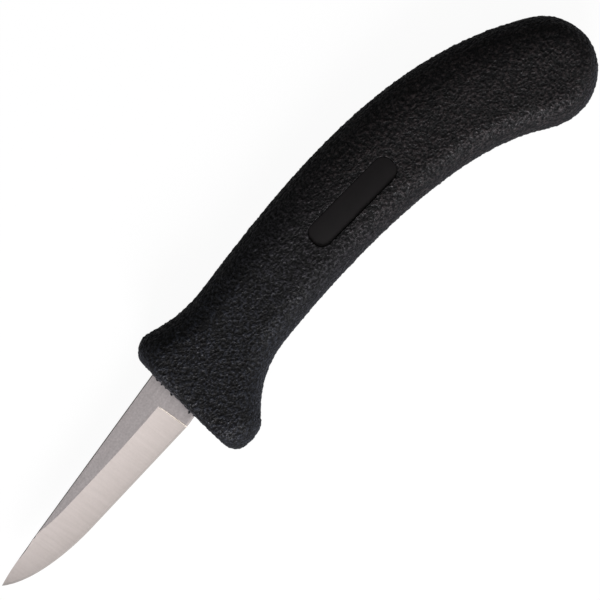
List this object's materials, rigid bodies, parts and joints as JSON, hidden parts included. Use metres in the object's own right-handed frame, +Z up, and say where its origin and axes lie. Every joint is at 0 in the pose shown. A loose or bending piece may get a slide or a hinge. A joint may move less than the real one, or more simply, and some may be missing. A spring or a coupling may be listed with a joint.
{
  "type": "poultry knife",
  "caption": "Short pointed blade with a hollow grind, held in a soft textured pistol grip with a guard, a finger hollow, a smooth side panel and a dropped round butt.",
  "frame": {"origin": "on the surface the knife lies on, flat side down, under the middle of its bounding box", "axes": "+X from the tip towards the butt along the blade's spine, +Y from the cutting edge towards the spine, +Z up, towards the side with the smooth panel"},
  "size_m": [0.1894, 0.0534, 0.018],
  "materials": {
    "blade_steel": "stainless sheet with a satin ground bevel",
    "core_plastic": "smooth matte moulded polypropylene, black",
    "grip_rubber": "pebble-grained soft elastomer, black"
  },
  "bodies": {
    "root": {"blade": "blade_steel", "handle_core": "core_plastic", "grip": "grip_rubber"}
  },
  "joints": []
}
